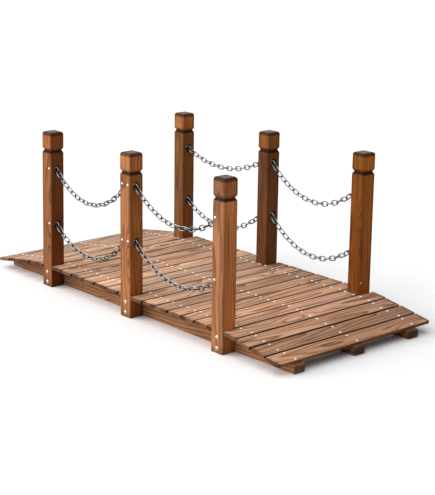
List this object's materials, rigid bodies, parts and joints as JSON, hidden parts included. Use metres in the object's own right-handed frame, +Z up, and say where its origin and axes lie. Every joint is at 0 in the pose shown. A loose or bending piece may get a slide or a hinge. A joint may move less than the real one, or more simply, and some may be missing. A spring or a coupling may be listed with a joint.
{
  "type": "garden footbridge",
  "caption": "Low arched garden footbridge of planks on sawn stringers, with posts along both sides joined by hanging runs of oval-link chain.",
  "frame": {"origin": "on the ground, at the middle of the length and of the width of the bridge", "axes": "+X along the bridge, +Y across it, +Z up"},
  "size_m": [1.532, 0.6826, 0.5623],
  "materials": {
    "stringer_wood": "sawn fir, stained brown, darkened edges",
    "deck_wood": "planed fir, stained pinkish brown, open grain",
    "post_wood": "planed fir, stained brown, dark grain",
    "chain_steel": "dull dark grey plated wire",
    "zinc": "bright zinc plate"
  },
  "bodies": {
    "root": {"stringer_near": "stringer_wood", "stringer_mid": "stringer_wood", "stringer_far": "stringer_wood", "plank_01": "deck_wood", "plank_02": "deck_wood", "plank_03": "deck_wood", "plank_04": "deck_wood", "plank_05": "deck_wood", "plank_06": "deck_wood", "plank_07": "deck_wood", "plank_08": "deck_wood", "plank_09": "deck_wood", "plank_10": "deck_wood", "plank_11": "deck_wood", "plank_12": "deck_wood", "plank_13": "deck_wood", "plank_14": "deck_wood", "plank_15": "deck_wood", "plank_16": "deck_wood", "plank_17": "deck_wood", "plank_18": "deck_wood", "plank_19": "deck_wood", "plank_20": "deck_wood", "plank_21": "deck_wood", "plank_22": "deck_wood", "plank_23": "deck_wood", "post_near_left": "post_wood", "post_near_middle": "post_wood", "post_near_right": "post_wood", "post_far_left": "post_wood", "post_far_middle": "post_wood", "post_far_right": "post_wood", "chain_near_upper_left": "chain_steel", "chain_near_upper_right": "chain_steel", "chain_near_lower_left": "chain_steel", "chain_near_lower_right": "chain_steel", "chain_far_upper_left": "chain_steel", "chain_far_upper_right": "chain_steel", "chain_far_lower_left": "chain_steel", "chain_far_lower_right": "chain_steel", "chain_screws_near": "zinc", "chain_screws_far": "zinc"}
  },
  "joints": []
}
